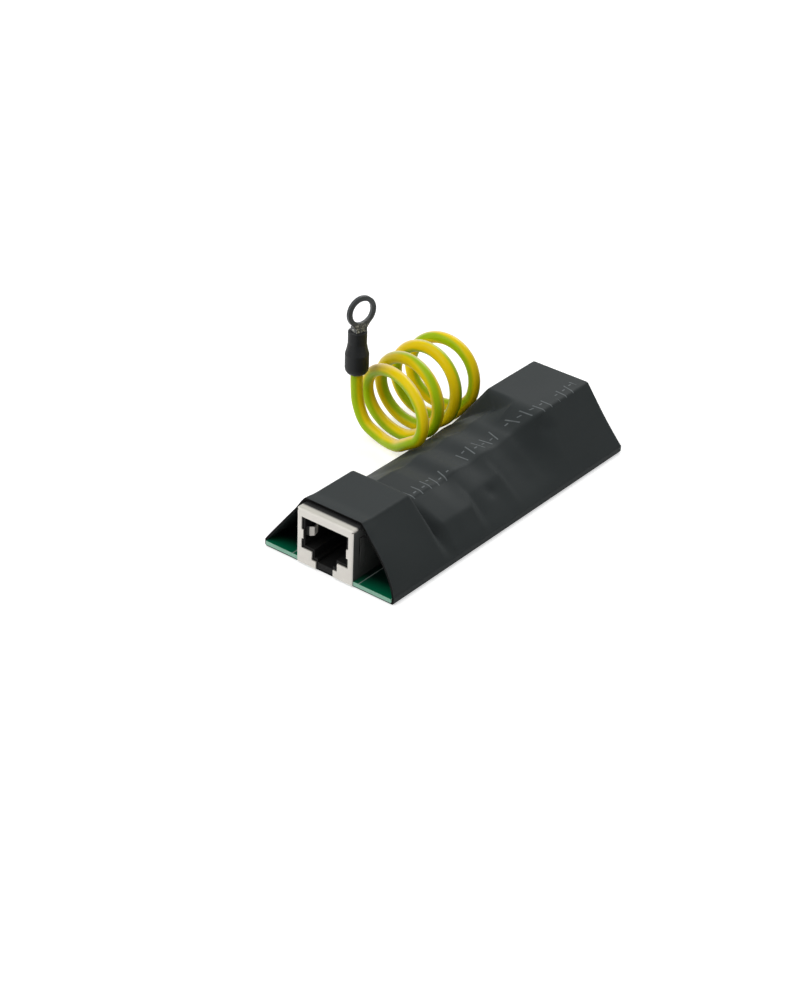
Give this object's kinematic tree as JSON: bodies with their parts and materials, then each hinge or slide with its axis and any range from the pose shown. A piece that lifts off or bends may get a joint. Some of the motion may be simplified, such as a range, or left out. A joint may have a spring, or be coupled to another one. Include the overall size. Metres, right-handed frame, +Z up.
{
  "type": "network line surge protector",
  "caption": "Inline network surge protector: a jack at each end of a narrow board in a dark shrunk sleeve, with a coiled yellow and green earth lead and ring terminal.",
  "frame": {"origin": "middle of the sleeved body's underside, on the surface that it rests on", "axes": "+X across the board to the side away from the earth lead, +Y from the front jack to the rear jack, +Z up"},
  "size_m": [0.0559, 0.0886, 0.0381],
  "materials": {
    "sleeve_film": "satin",
    "board": "gloss",
    "shield_metal": "satin",
    "jack_plastic": "matte",
    "carrier_plastic": "matte",
    "contact_wire": "polished",
    "gas_tube": "satin",
    "rectifier_plastic": "matte",
    "diode_plastic": "matte",
    "chip": "satin",
    "solder": "satin",
    "copper": "satin",
    "lead_insulation": "satin",
    "terminal_metal": "satin",
    "boot_plastic": "satin"
  },
  "bodies": {
    "root": {"heat_shrink_sleeve": "sleeve_film", "circuit_board": "board", "front_jack_shield": "shield_metal", "front_jack_housing": "jack_plastic", "front_jack_carrier": "carrier_plastic", "front_jack_contacts": "contact_wire", "rear_jack_shield": "shield_metal", "rear_jack_housing": "jack_plastic", "rear_jack_carrier": "carrier_plastic", "rear_jack_contacts": "contact_wire", "gas_tube_1": "gas_tube", "gas_tube_2": "gas_tube", "gas_tube_3": "gas_tube", "gas_tube_4": "gas_tube", "rectifier_1": "rectifier_plastic", "rectifier_2": "rectifier_plastic", "rectifier_3": "rectifier_plastic", "rectifier_4": "rectifier_plastic", "clamping_diode_1": "diode_plastic", "clamping_diode_2": "diode_plastic", "clamping_diode_3": "diode_plastic", "clamping_diode_4": "diode_plastic", "line_resistors": "chip", "solder_joints": "solder", "soldered_core": "copper", "earth_lead_run": "lead_insulation", "earth_lead_coil": "lead_insulation", "earth_lead_end": "lead_insulation", "crimped_core": "copper", "ring_terminal": "terminal_metal", "terminal_boot": "boot_plastic"}
  },
  "joints": []
}
